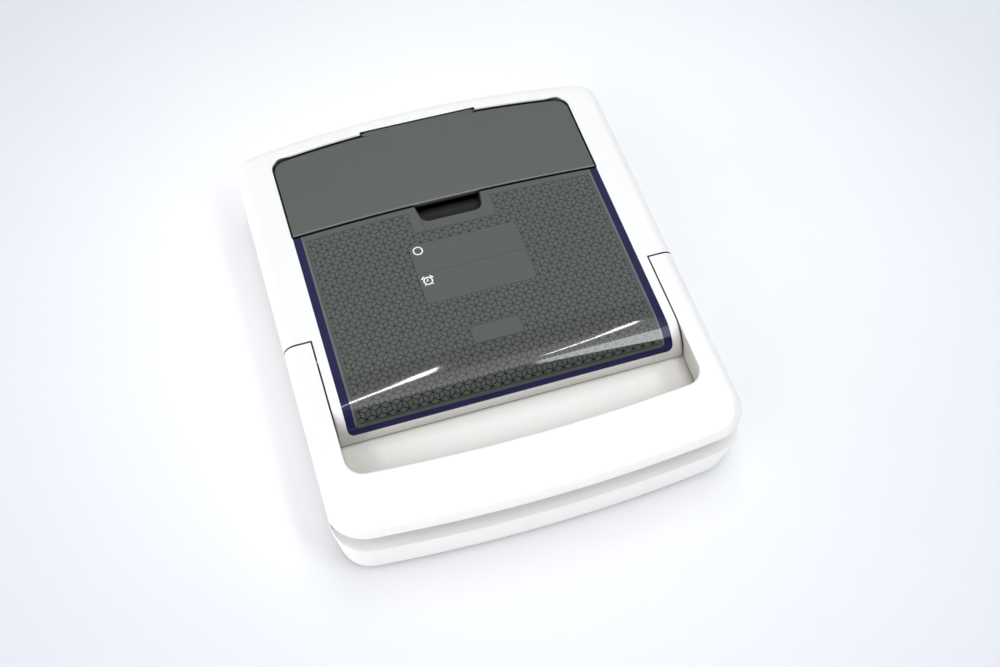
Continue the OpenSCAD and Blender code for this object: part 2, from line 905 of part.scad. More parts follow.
// Outer form of the handle before it is opened: arms, grip bar and corners
module handle_form() {
    intersection() {
        loft(concat(
            [ring(ledge_z - 1, plan(0, 0, 0, bar_front_y))],
            [for (i = [0 : 6]) let (a = 15 * i, s = shoulder * (1 - cos(a)), f = 2.2 * (1 - cos(a)))
                ring(body_h - shoulder + shoulder * sin(a), plan(s, f, s, bar_front_y))]
        ));
        block([-far, -far, 0], [far, arm_tail_y, far]);
        across(far)
            difference() {
                translate([-far, 0])
                    square([2 * far, far]);
                deck_side(0.6);
            }
        union() {
            block([-far, -far, 0], [far, pivot_y, far]);
            block([-far, -far, pivot_z], [far, far, far]);
            rod(10.9, -far, far, pivot_y, pivot_z);
        }
    }
}

// Plan of the opening between the arms, grown by gx at the arms and by gy at the bar's bowed rim
function opening_plan(gx = 0, gy = 0) =
    let (
        r = rim_r,
        h = arm_inner + gx,
        y0 = rim_y - gy,
        a = atan(bow_rim * (h - r) / 5000),
        cy = y0 + bowed(h - r, bow_rim) + r,
        m = 12
    )
    concat(
        [[h, far], [-h, far]],
        arc(r - h, cy, r, r, 180, 270 - a, 6),
        [for (i = [1 : m - 1]) let (x = (h - r) * (2 * i / m - 1)) [x, y0 + bowed(x, bow_rim)]],
        arc(h - r, cy, r, r, 270 + a, 360, 6)
    );

// Front view of the finger gap under the grip bar, with a rounding r at its ends
module arch_2d(half, r) {
    polygon(concat(
        [[half, 0], [half, ledge_z]],
        arc(half - r, ledge_z + 1, r, grip_z - ledge_z - 1, 0, 90, 8),
        arc(r - half, ledge_z + 1, r, grip_z - ledge_z - 1, 90, 180, 8),
        [[-half, ledge_z], [-half, 0]]
    ));
}

module handle_shell() {
    color(white)
        difference() {
            handle_form();
            linear_extrude(body_h - rim_round + 0.1)
                polygon(opening_plan());
            loft(concat(
                [for (i = [0 : 4]) let (a = 22.5 * i, g = rim_round * (1 - cos(a)) + 0.02)
                    ring(body_h - rim_round + rim_round * sin(a), opening_plan(g / 4, g))],
                [ring(body_h + 1, opening_plan(rim_round / 4, rim_round + 0.02))]
            ));
            along(-far, rim_y - 2)
                arch_2d(gap_half, 9);
            along(-far, rim_y + 20)
                arch_2d(arm_inner, 5);
            corner_gap();
            both() {
                intersection() {
                    block([arm_inner + wall, rim_y + 6, 0], [half_w - wall, pivot_y - 9, body_h - wall - 1.4]);
                    across(far)
                        polygon([[-far, 0], [far, 0], [far, body_h - 4], [-far, body_h - 4]]);
                }
                rod(bush_r, arm_inner - 1, arm_inner + bush_end, pivot_y, pivot_z);
                rod(pivot_r + 0.2, arm_inner - 1, arm_inner + 9.4, pivot_y, pivot_z);
            }
            difference() {
                pad(pocket_half, bar_front_y + pocket_front, rim_y - pocket_rear, 4, 0, body_h - wall);
                for (x = grip_screw_x)
                    translate([x, (bar_front_y + rim_y + 5) / 2, grip_z + 2.4])
                        cylinder(r = 3, h = far);
            }
            for (x = grip_screw_x)
                translate([x, (bar_front_y + rim_y + 5) / 2, grip_z + 2])
                    cylinder(r = 1, h = 4);
        }
}

// The finger gap carried round both front corners, where it runs out at the arms' sides
module corner_gap() {
    z = deck_top(gap_end_y) + 0.3;
    intersection() {
        across(far)
            polygon(concat(
                [[-far, grip_z], [-far, 0], [gap_end_y, 0]],
                arc(gap_end_y - 20, z, 20, grip_z - z, 0, 90, 8)
            ));
        difference() {
            block([-far, -far, 0], [far, gap_end_y, far]);
            linear_extrude(far)
                polygon(plan(gap_depth, gap_depth, gap_depth, bar_front_y));
        }
    }
}

module grip_liner() {
    color(white)
        difference() {
            pad(pocket_half - pocket_play, bar_front_y + pocket_front + pocket_play,
                rim_y - pocket_rear - pocket_play, 4 - pocket_play, grip_z + 0.4, grip_z + 2.4);
            for (x = grip_screw_x)
                translate([x, (bar_front_y + rim_y + 5) / 2, 0]) {
                    cylinder(r = 1.2, h = far);
                    cylinder(r = 2.2, h = grip_z + 1.5);
                }
        }
}

module grip_screws() {
    color(steel)
        for (x = grip_screw_x)
            translate([x, (bar_front_y + rim_y + 5) / 2, grip_z + 0.5]) {
                cylinder(r = 2, h = 1);
                cylinder(r = 1, h = 4.6);
            }
}

module arm_liner() {
    color(white)
        difference() {
            intersection() {
                block([arm_inner + wall + 0.1, rim_y + 6.2, 0], [half_w - wall - 0.1, pivot_y - 9.2, far]);
                across(far)
                    difference() {
                        deck_side(3.4);
                        deck_side(1.4, -1);
                    }
            }
            translate([striker_x(), magnet_y, 0])
                cylinder(r = magnet_r, h = deck_top(magnet_y) + 3.9);
        }
}

module arm_liner_right() {
    arm_liner();
}

module arm_liner_left() {
    mirror([1, 0, 0])
        arm_liner();
}

module catch_magnets() {
    color(steel)
        both()
            translate([striker_x(), magnet_y, deck_top(magnet_y) + 0.9])
                cylinder(r = magnet_r, h = 3);
}

module handle_bush(side) {
    x = [side * (arm_inner + 0.3), side * (arm_inner + bush_end)];
    color(rubber)
        difference() {
            rod(bush_r, min(x), max(x), pivot_y, pivot_z);
            rod(pivot_r + 0.05, min(x) - 1, max(x) + 1, pivot_y, pivot_z);
        }
}

module handle_bush_left() {
    handle_bush(-1);
}

module handle_bush_right() {
    handle_bush(1);
}

base_shell();
base_deck();
stage_plate();
rubber_feet();
base_screws();
catch_strikers();
lid_bumpers();
lid_hinge_pin();
lid_shell();
lid_hinge_bushes();
lid_liner();
liner_screws();
panel_plate();
label_film();
well_insert();
cover_hinge_brackets();
cover_hinge_pin();
handle_pin_left();
handle_pin_right();
plate_springs();
bar_springs();
well_cover();
cover_seal();
handle_shell();
grip_liner();
arm_liner_left();
arm_liner_right();
grip_screws();
handle_bush_left();
handle_bush_right();
catch_magnets();
plate_carrier();
pressure_glass();
pressure_bar();
bar_pad();
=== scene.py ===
"""Looks of a blot incubation device: white housing, grey printed film over a navy panel, satin well cover.

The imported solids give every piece's place. The film, the feet and the screws are made here as surfaces
worked out from formulas. Lengths in the formulas are millimetres, and metres() turns them into the frame's.
"""

import json
import math

import bpy
import numpy as np
from mathutils import Matrix, Vector


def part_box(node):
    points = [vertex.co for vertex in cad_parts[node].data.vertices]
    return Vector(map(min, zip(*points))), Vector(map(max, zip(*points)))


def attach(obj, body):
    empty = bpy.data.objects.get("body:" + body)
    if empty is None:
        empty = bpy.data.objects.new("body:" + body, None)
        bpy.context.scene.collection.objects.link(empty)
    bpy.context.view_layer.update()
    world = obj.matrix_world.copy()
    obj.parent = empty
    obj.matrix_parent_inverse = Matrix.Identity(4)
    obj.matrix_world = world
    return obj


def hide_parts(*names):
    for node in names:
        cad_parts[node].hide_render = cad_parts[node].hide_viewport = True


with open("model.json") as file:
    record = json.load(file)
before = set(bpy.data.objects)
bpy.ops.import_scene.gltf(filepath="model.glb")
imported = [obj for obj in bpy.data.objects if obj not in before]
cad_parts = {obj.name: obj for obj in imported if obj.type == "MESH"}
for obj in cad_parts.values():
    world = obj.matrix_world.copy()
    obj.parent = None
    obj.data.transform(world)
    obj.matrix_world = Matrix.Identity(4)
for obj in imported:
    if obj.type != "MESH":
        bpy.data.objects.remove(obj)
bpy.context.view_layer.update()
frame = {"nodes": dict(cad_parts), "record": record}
NODE = frame["nodes"]

# Values of the part, in millimetres
TOP_Z = 50.0
ROLL_Y, ROLL_R = -53.1, 18.0
SOFT_START = 2.2
FILM_HALF, FILM_END_Z, FILM_CORNER, FILM_THICK = 85.6, 43.3, 2.5, 0.4
COVER_FRONT_Y, COVER_FRONT_BOW, COVER_GAP = 59.2, 3.65, 1.5
NOTCH_FRONT_Y, NOTCH_LENGTH = 45.7, 13.5
NOTCH_HALF, NOTCH_TAPER, NOTCH_R = 17.8, 2.0, 4.5
# painted gap shade is lighter below LOW_GAP_Z
LOW_GAP_Z, LOW_GAP_FADE = 42.0, 4.0
TRAY_HALF, TRAY_MIDDLE_Y, TRAY_HALF_LENGTH, TRAY_TOP_Z = 22.0, 53.0, 9.0, 49.2
FEET = [(x, y) for x in (-84, 84) for y in (-104, 100)]
BASE_SCREWS = [(side * x, y) for side in (-1, 1) for x, y in ((98, -100), (100, 0), (92, 114))]
LINER_SCREWS = [(side * x, y) for side in (-1, 1) for x, y in ((86, -40), (86, 50), (100, 12), (100, 96))]
GRIP_SCREW_X = (-60, 0, 60)
FOOT_PROFILE = [(0, 0.5), (5.0, 0.5), (5.5, 0.42), (5.8, 0.2), (6.1, 0.05), (6.5, 0), (7.9, 0), (8.3, 0.06),
                (8.7, 0.28), (8.93, 0.65), (9, 1.1), (9, 2.75), (8.6, 2.8), (0, 2.8)]

# The film's print, in millimetres across the device and along the film.
# A box is its left, right, front and rear side and its corner radius.
PRINT_BOX, PRINT_REAR_Y = (-83.6, 83.6, -66.7, 90.0, 2.0), 54.1
NOTCH_BOX = (-24.3, 24.3, 39.5, 90.0, 2.0)
FIELD_BOX = (-30.4, 32.6, -8.3, 32.0, 3.0)
PATCH_BOX = (-13.0, 15.0, -39.5, -28.5, 2.0)
DIVIDER_BOX = (-30.4, 32.6, 11.9, 12.1, 0.1)
BLOCK_SIZE, LINE_HALF, KNOT_R = 5.65, 0.22, 0.55
INK_EDGE, SIGN_EDGE = 0.14, 0.12
RING_MIDDLE, CLOCK_MIDDLE = (-25.7, 27.5), (-25.7, 6.6)


# Node trees

class Tree:
    """Writes a node tree in a few words: each call adds one node and gives back its output socket."""

    def __init__(self, tree):
        self.tree = tree

    def node(self, kind, inputs=(), **settings):
        made = self.tree.nodes.new(kind)
        for name, value in settings.items():
            setattr(made, name, value)
        for name, value in dict(inputs).items():
            self.feed(value, made.inputs[name])
        return made

    def feed(self, value, socket):
        """Links a socket, or writes a plain number or colour on the input itself."""
        if isinstance(value, bpy.types.NodeSocket):
            self.tree.links.new(value, socket)
        elif socket.type == "RGBA" and len(value) == 3:
            socket.default_value = (*value, 1.0)
        else:
            socket.default_value = value

    def place(self):
        """The point of the surface on the piece's own axes, in metres."""
        return self.node("ShaderNodeTexCoord").outputs["Object"]

    def math(self, operation, *values, clamp=False):
        made = self.node("ShaderNodeMath", dict(enumerate(values)), operation=operation, use_clamp=clamp)
        return made.outputs[0]

    def vector(self, operation, *values, out=0):
        return self.node("ShaderNodeVectorMath", dict(enumerate(values)), operation=operation).outputs[out]

    def scaled(self, vector, share):
        return self.node("ShaderNodeVectorMath", {0: vector, 3: share}, operation="SCALE").outputs[0]

    def parts(self, vector):
        return self.node("ShaderNodeSeparateXYZ", {0: vector}).outputs

    def millimetres(self, place):
        """x, y and z of a place, in millimetres."""
        return self.parts(self.vector("MULTIPLY", place, (1000.0, 1000.0, 1000.0)))

    def ramp(self, value, low, high, first=0.0, last=1.0):
        """A value that runs straight from first at low to last at high, and is level beyond."""
        return self.node("ShaderNodeMapRange", {"Value": value, "From Min": low, "From Max": high,
                                                "To Min": first, "To Max": last}).outputs[0]

    def below(self, value, limit, soft):
        """1 where value is under limit, fading to 0 over a width soft."""
        return self.ramp(value, limit - soft / 2, limit + soft / 2, 1.0, 0.0)

    def noise(self, place, scale, detail):
        made = self.node("ShaderNodeTexNoise", {"Vector": place, "Scale": scale, "Detail": detail})
        return made.outputs[0]

    def grey(self, value):
        return self.node("ShaderNodeCombineXYZ", {0: value, 1: value, 2: value}).outputs[0]

    def mix(self, share, first, second):
        made = self.node("ShaderNodeMix", data_type="RGBA")
        for socket, value in ((made.inputs[0], share), (made.inputs[6], first), (made.inputs[7], second)):
            self.feed(value, socket)
        return made.outputs[2]

    def group(self, tree, **inputs):
        made = self.tree.nodes.new("ShaderNodeGroup")
        made.node_tree = tree
        for name, value in inputs.items():
            self.feed(value, made.inputs[name.replace("_", " ")])
        return made.outputs

    def bump(self, shader, height, strength, depth):
        """Gives a shader its normal from a height, with the full depth in millimetres."""
        given = {"Height": height, "Strength": strength, "Distance": depth / 1000}
        made = self.node("ShaderNodeBump", given)
        self.feed(made.outputs[0], shader.inputs["Normal"])

    def glow(self, colour, level):
        """Makes the whole material glow with a radiance."""
        made = self.node("ShaderNodeEmission", {"Color": colour, "Strength": level})
        self.feed(made.outputs[0], self.tree.nodes["Material Output"].inputs["Surface"])


def new_group(name, inputs, outputs):
    """An empty shader group with named sockets, its tree, its input node's sockets and its output node."""
    tree = bpy.data.node_groups.new(name, "ShaderNodeTree")
    for label, kind, value in inputs:
        socket = tree.interface.new_socket(label, in_out="INPUT", socket_type=kind)
        if value is not None:
            socket.default_value = value
    for label, kind in outputs:
        tree.interface.new_socket(label, in_out="OUTPUT", socket_type=kind)
    given = tree.nodes.new("NodeGroupInput").outputs
    out = tree.nodes.new("NodeGroupOutput").inputs
    return tree, Tree(tree), given, out


def moulded_surface():
    """Spark-eroded skin of a moulding: fine grain for the bump, and slow changes of gloss and tone."""
    tree, t, given, out = new_group(
        "moulded surface",
        [("Vector", "NodeSocketVector", None), ("Grain size", "NodeSocketFloat", 0.3),
         ("Roughness", "NodeSocketFloat", 0.4), ("Spread", "NodeSocketFloat", 0.06),
         ("Tone", "NodeSocketFloat", 0.03)],
        [("Height", "NodeSocketFloat"), ("Roughness", "NodeSocketFloat"), ("Shade", "NodeSocketFloat")])
    scale = t.math("DIVIDE", 1000.0, given["Grain size"])
    grain = t.noise(given["Vector"], scale, 2.0)
    slow = t.noise(given["Vector"], 22.0, 3.0)
    t.feed(grain, out["Height"])
    wander = t.math("SUBTRACT", slow, 0.5)
    spread = t.math("MULTIPLY", given["Spread"], 2.0)
    t.feed(t.math("MULTIPLY_ADD", wander, spread, given["Roughness"]), out["Roughness"])
    t.feed(t.math("MULTIPLY_ADD", wander, t.math("MULTIPLY", given["Tone"], 2.0), 1.0), out["Shade"])
    return tree


def gap_shade():
    """Share of colour left in a narrow gap, where little light comes in: 1 on open faces and corners."""
    tree, t, given, out = new_group(
        "gap shade", [("Openness", "NodeSocketFloat", 1.0), ("Depth", "NodeSocketFloat", 0.3)],
        [("Shade", "NodeSocketFloat")])
    shut, free = 0.35, 0.9
    t.feed(t.ramp(given["Openness"], shut, free, given["Depth"], 1.0), out["Shade"])
    return tree


def hollow_shade():
    """Painted shade of the wide hollow between the lid and the grip bar, darker where walls mostly show each
    other.

    Faces under the height Rim, which stand by the bench, and faces ahead of Front keep their own colour."""
    tree, t, given, out = new_group(
        "hollow shade",
        [("Vector", "NodeSocketVector", None), ("Openness", "NodeSocketFloat", 1.0),
         ("Rim", "NodeSocketFloat", 0.0315), ("Front", "NodeSocketFloat", -0.112)],
        [("Tint", "NodeSocketVector")])
    _, y, height = t.parts(given["Vector"])
    walled, free = 0.75, 1.0
    closed = t.ramp(given["Openness"], walled, free, 1.0, 0.0)
    above = t.math("GREATER_THAN", height, given["Rim"])
    behind = t.math("GREATER_THAN", y, given["Front"])
    share = t.math("MULTIPLY", closed, t.math("MULTIPLY", above, behind))
    # painted shade: the hollow's colour is darkened towards a warm grey
    t.feed(t.mix(share, (1.0, 1.0, 1.0), (0.66, 0.645, 0.61)), out["Tint"])
    return tree


def round_box():
    """Signed distance to a box with round corners, from its middle, half sides and corner radius."""
    tree, t, given, out = new_group(
        "round box",
        [("Point", "NodeSocketVector", None), ("Middle", "NodeSocketVector", (0, 0, 0)),
         ("Half", "NodeSocketVector", (1, 1, 0)), ("Radius", "NodeSocketFloat", 1.0)],
        [("Distance", "NodeSocketFloat")])
    radius = t.node("ShaderNodeCombineXYZ", {0: given["Radius"], 1: given["Radius"]}).outputs[0]
    corner = t.vector("SUBTRACT", given["Half"], radius)
    off = t.vector("ABSOLUTE", t.vector("SUBTRACT", given["Point"], given["Middle"]))
    away = t.vector("SUBTRACT", off, corner)
    outside = t.vector("LENGTH", t.vector("MAXIMUM", away, (0, 0, 0)), out=1)
    across, along, _ = t.parts(away)
    inside = t.math("MINIMUM", t.math("MAXIMUM", across, along), 0.0)
    t.feed(t.math("SUBTRACT", t.math("ADD", outside, inside), given["Radius"]), out["Distance"])
    return tree


def tumbling_blocks():
    """Distance to the lines of the old tumbling-block tiling, and to its knots, where six lines meet.

    The tiling is hexagons that are Size wide, with three spokes in each."""
    tree, t, given, out = new_group(
        "tumbling blocks", [("Point", "NodeSocketVector", None), ("Size", "NodeSocketFloat", 3.0)],
        [("Distance", "NodeSocketFloat"), ("Knot", "NodeSocketFloat")])
    size = t.node("ShaderNodeCombineXYZ", {0: given["Size"], 1: given["Size"], 2: 1.0}).outputs[0]
    point = t.vector("DIVIDE", given["Point"], size)
    period, half = (1.0, math.sqrt(3), 1.0), (0.5, math.sqrt(3) / 2, 0.0)
    flat = t.vector("MULTIPLY", point, (1.0, 1.0, 0.0))
    here = t.vector("SUBTRACT", t.vector("WRAP", flat, period, (0, 0, 0)), half)
    shifted = t.vector("SUBTRACT", flat, half)
    there = t.vector("SUBTRACT", t.vector("WRAP", shifted, period, (0, 0, 0)), half)
    nearer = t.math("LESS_THAN", t.vector("LENGTH", there, out=1), t.vector("LENGTH", here, out=1))
    local = t.node("ShaderNodeMix", data_type="VECTOR")
    t.feed(nearer, local.inputs[0])
    t.feed(here, local.inputs[4])
    t.feed(there, local.inputs[5])
    cell = t.vector("MULTIPLY", local.outputs[1], (1.0, 1.0, 0.0))
    folded = t.vector("ABSOLUTE", cell)
    side = t.vector("DOT_PRODUCT", folded, (0.5, math.sqrt(3) / 2, 0), out=1)
    nearest = t.math("SUBTRACT", 0.5, t.math("MAXIMUM", side, t.parts(folded)[0]))
    knot = 1.0
    for degrees in (90, 210, 330):
        ray = (math.cos(math.radians(degrees)), math.sin(math.radians(degrees)), 0.0)
        corner = tuple(part / math.sqrt(3) for part in ray)
        knot = t.math("MINIMUM", knot, t.vector("DISTANCE", cell, corner, out=1))
        along = t.math("MAXIMUM", t.vector("DOT_PRODUCT", cell, ray, out=1), 0.0)
        nearest = t.math("MINIMUM", nearest, t.vector("DISTANCE", cell, t.scaled(ray, along), out=1))
    t.feed(t.math("MULTIPLY", nearest, given["Size"]), out["Distance"])
    t.feed(t.math("MULTIPLY", knot, given["Size"]), out["Knot"])
    return tree


def stroke():
    """Distance from a point to a short straight stroke between two ends."""
    tree, t, given, out = new_group(
        "stroke",
        [("Point", "NodeSocketVector", None), ("Start", "NodeSocketVector", (0, 0, 0)),
         ("End", "NodeSocketVector", (1, 0, 0))],
        [("Distance", "NodeSocketFloat")])
    reach = t.vector("SUBTRACT", given["End"], given["Start"])
    off = t.vector("SUBTRACT", given["Point"], given["Start"])
    along = t.vector("DOT_PRODUCT", off, reach, out=1)
    share = t.math("DIVIDE", along, t.vector("DOT_PRODUCT", reach, reach, out=1), clamp=True)
    t.feed(t.vector("DISTANCE", off, t.scaled(reach, share), out=1), out["Distance"])
    return tree


MOULDED, GAP, HOLLOW = moulded_surface(), gap_shade(), hollow_shade()
ROUND_BOX, BLOCKS, STROKE = round_box(), tumbling_blocks(), stroke()


# Materials

def finish(name, **sockets):
    """A new material, its tree and its shader, with plain values on the shader's own sockets."""
    material = bpy.data.materials.new(name)
    material.use_nodes = True
    shader = material.node_tree.nodes["Principled BSDF"]
    t = Tree(material.node_tree)
    for label, value in sockets.items():
        t.feed(value, shader.inputs[label.replace("_", " ")])
    return material, t, shader


def openness(t, reach):
    """Share of the directions in front of a face that are free up to reach, in millimetres."""
    return t.node("ShaderNodeAmbientOcclusion", {"Distance": reach / 1000}, samples=8).outputs["AO"]


def in_gap(t, reach=3.0, depth=0.05):
    """Painted shade: share of colour left, down to depth, where another face stands within reach, in
    millimetres.
    """
    return t.group(GAP, Openness=openness(t, reach), Depth=depth)["Shade"]


def from_bow(t, x, y):
    """The y at which the bowed line through a point crosses the middle: y + bow (x / 100)^2."""
    return t.math("MULTIPLY_ADD", t.math("MULTIPLY", x, x), COVER_FRONT_BOW / 100 ** 2, y)


def moulding(name, colour, rough, grain=0.3, height=0.012, spread=0.06, tone=0.03, gap=None, hollow=None):
    """Moulded plastic or rubber: grain as bump, slow changes of gloss and tone, and painted shade in gaps
    and hollows.

    gap is a reach in millimetres, then the share of colour left by painted shade in the gaps of the top and
    in lower ones.
    hollow is the reach in millimetres within which the hollow gets painted shade."""
    material, t, shader = finish(name)
    place = t.place()
    skin = t.group(MOULDED, Vector=place, Grain_size=grain, Roughness=rough, Spread=spread, Tone=tone)
    shade = skin["Shade"]
    # painted shade: colour is darkened in narrow gaps, less so below LOW_GAP_Z
    if gap:
        reach, depth, low_depth = gap
        low = t.below(t.parts(place)[2], LOW_GAP_Z / 1000, LOW_GAP_FADE / 1000)
        depth = t.math("MULTIPLY_ADD", low, low_depth - depth, depth)
        shade = t.math("MULTIPLY", shade, in_gap(t, reach, depth))
    colour_tone_and_painted_shade = t.vector("MULTIPLY", t.grey(shade), colour)
    # painted shade of the hollow behind the grip bar
    if hollow:
        hollow_painted_shade = t.group(HOLLOW, Vector=place, Openness=openness(t, hollow))["Tint"]
        colour_tone_and_painted_shade = t.vector("MULTIPLY", colour_tone_and_painted_shade, hollow_painted_shade)
    t.feed(colour_tone_and_painted_shade, shader.inputs["Base Color"])
    t.feed(skin["Roughness"], shader.inputs["Roughness"])
    t.bump(shader, skin["Height"], 0.5, height)
    return material


def panel_gloss(name, navy, tray):
    """Glossy navy plastic with painted shade in its gaps. The tray that lines the finger notch is dull and
    dark, with painted light that evens out the shadow under the cover: darker at its front and paler to the
    rear.
    """
    material, t, shader = finish(name, IOR=1.5, Specular_IOR_Level=0.14)
    place = t.place()
    x, y, z = t.millimetres(place)
    beside = t.below(t.math("ABSOLUTE", x), TRAY_HALF, 0.4)
    ahead = t.below(t.math("ABSOLUTE", t.math("SUBTRACT", y, TRAY_MIDDLE_Y)), TRAY_HALF_LENGTH, 0.4)
    in_tray = t.math("MULTIPLY", t.math("MULTIPLY", beside, ahead), t.below(z, TRAY_TOP_Z, 0.2))
    skin = t.group(MOULDED, Vector=place, Grain_size=1.5, Roughness=0.03, Spread=0.01, Tone=0.06)
    # painted shade in the panel's gaps, except in the tray
    shade = t.grey(t.math("MULTIPLY", skin["Shade"], t.math("MAXIMUM", in_gap(t), in_tray)))
    # painted light: the tray is darker at its front and paler to the rear
    painted_light_to_rear = t.ramp(y, TRAY_MIDDLE_Y - 3, TRAY_MIDDLE_Y + 5, 0.3, 1.5)
    tray = t.vector("MULTIPLY", t.grey(painted_light_to_rear), tray)
    t.feed(t.vector("MULTIPLY", shade, t.mix(in_tray, navy, tray)), shader.inputs["Base Color"])
    t.feed(t.math("MULTIPLY_ADD", in_tray, 0.4, skin["Roughness"]), shader.inputs["Roughness"])
    t.bump(shader, skin["Height"], 0.4, 0.004)
    return material


def satin_cover(name, grey, edge):
    """Plain satin plastic of the well cover, with painted shade in its gaps and a painted highlight, paler
    and smoother, along its front edge.
    """
    material, t, shader = finish(name)
    place = t.place()
    x, y, z = t.millimetres(place)
    top = t.math("SUBTRACT", 1.0, t.below(z, TOP_Z - 0.7, 0.3))
    # painted highlight: a paler band on the top of the bowed front edge
    painted_edge_highlight = t.math("MULTIPLY", t.below(from_bow(t, x, y), COVER_FRONT_Y + 0.95, 0.3), top)
    skin = t.group(MOULDED, Vector=place, Grain_size=0.22, Roughness=0.31, Spread=0.015, Tone=0.01)
    shade = t.grey(t.math("MULTIPLY", skin["Shade"], in_gap(t)))
    t.feed(t.vector("MULTIPLY", shade, t.mix(painted_edge_highlight, grey, edge)), shader.inputs["Base Color"])
    t.feed(t.math("MULTIPLY_ADD", painted_edge_highlight, -0.12, skin["Roughness"]), shader.inputs["Roughness"])
    t.bump(shader, skin["Height"], 0.5, 0.006)
    return material


def printed_film(name, grey, line, border_line, rim):
    """The printed film: fine block lines inside a border line, a plain field, a divider and two pale signs,
    and a painted highlight along its side edges.

    The piece's UV map holds millimetres: across the device, and along the film's surface."""
    material, t, shader = finish(name, IOR=1.5)
    point = t.node("ShaderNodeUVMap", uv_map="film").outputs[0]
    x, along, _ = t.parts(point)

    def box(left, right, front, rear, radius):
        middle = ((left + right) / 2, (front + rear) / 2, 0)
        half = ((right - left) / 2, (rear - front) / 2, 0)
        return t.group(ROUND_BOX, Point=point, Middle=middle, Half=half, Radius=radius)["Distance"]

    def ring(middle, radius, width):
        away = t.vector("DISTANCE", point, (*middle, 0), out=1)
        return t.below(t.math("ABSOLUTE", t.math("SUBTRACT", away, radius)), width / 2, SIGN_EDGE)

    def bar(start, end, width):
        away = t.group(STROKE, Point=point, Start=(*start, 0), End=(*end, 0))["Distance"]
        return t.below(away, width / 2, SIGN_EDGE)

    edge = t.math("MAXIMUM", box(*PRINT_BOX), t.math("SUBTRACT", from_bow(t, x, along), PRINT_REAR_Y))
    edge = t.math("MAXIMUM", edge, t.math("MULTIPLY", box(*NOTCH_BOX), -1.0))
    clear = t.math("MINIMUM", box(*FIELD_BOX), box(*PATCH_BOX))
    uncleared = t.math("SUBTRACT", 1.0, t.below(clear, 0.1, 0.1))
    printed = t.math("MULTIPLY", t.below(edge, -0.4, 0.1), uncleared)
    blocks = t.group(BLOCKS, Point=point, Size=BLOCK_SIZE)
    drawn = t.math("MAXIMUM", t.below(blocks["Distance"], LINE_HALF, INK_EDGE),
                   t.below(blocks["Knot"], KNOT_R, 0.2))
    divider = t.below(box(*DIVIDER_BOX), 0.02, INK_EDGE)
    outline = t.below(t.math("ABSOLUTE", clear), 0.17, INK_EDGE)
    fine = t.math("MULTIPLY", t.math("MAXIMUM", divider, outline), 0.75)
    dark = t.math("MAXIMUM", t.math("MULTIPLY", drawn, printed), fine)
    border = t.below(t.math("ABSOLUTE", edge), 0.2, INK_EDGE)
    # painted highlight: a paler line along the film's outer side edges
    painted_rim_highlight = t.below(t.math("SUBTRACT", FILM_HALF, t.math("ABSOLUTE", x)), 0.7, 0.3)

    cx, cy = CLOCK_MIDDLE
    pale = ring(RING_MIDDLE, 2.5, 0.72)
    marks = [ring(CLOCK_MIDDLE, 2.35, 0.75)]
    marks.append(bar(CLOCK_MIDDLE, (cx, cy + 1.4), 0.5))
    marks.append(bar(CLOCK_MIDDLE, (cx - 1.0, cy), 0.5))
    for side in (-1, 1):
        marks.append(bar((cx + side * 3.1, cy + 1.8), (cx + side * 1.8, cy + 3.0), 0.8))
        marks.append(bar((cx + side * 1.6, cy - 1.9), (cx + side * 2.3, cy - 2.7), 0.5))
    for mark in marks:
        pale = t.math("MAXIMUM", pale, mark)

    place = t.place()
    skin = t.group(MOULDED, Vector=place, Grain_size=1.2, Roughness=0.03, Spread=0.01, Tone=0.03)
    ground = t.mix(painted_rim_highlight, t.vector("MULTIPLY", t.grey(skin["Shade"]), grey), rim)
    inked = t.mix(dark, ground, line)
    inked = t.mix(t.math("MULTIPLY", border, 0.9), inked, border_line)
    t.feed(t.mix(pale, inked, (0.88, 0.89, 0.9)), shader.inputs["Base Color"])
    t.feed(t.math("MULTIPLY_ADD", dark, 0.04, skin["Roughness"]), shader.inputs["Roughness"])
    t.bump(shader, t.noise(place, 9.0, 1.0), 0.2, 0.3)
    return material


def brushed_steel(name):
    """Bright steel with fine scratches along the turning, and a gloss that changes with them."""
    material, t, shader = finish(name, Metallic=1.0, Base_Color=(0.62, 0.63, 0.65))
    stretch = t.node("ShaderNodeMapping", {"Vector": t.place(), "Scale": (300.0, 2600.0, 2600.0)})
    scratch = t.noise(stretch.outputs[0], 1.0, 3.0)
    t.feed(t.math("MULTIPLY_ADD", scratch, 0.22, 0.16), shader.inputs["Roughness"])
    t.bump(shader, scratch, 0.15, 0.01)
    return material


def tempered_glass(name):
    """Clear pressure glass with a faint green body."""
    material, t, shader = finish(name, Base_Color=(0.86, 0.95, 0.93), Transmission_Weight=1.0, IOR=1.5,
                                 Roughness=0.03)
    t.bump(shader, t.noise(t.place(), 30.0, 3.0), 0.05, 0.1)
    return material


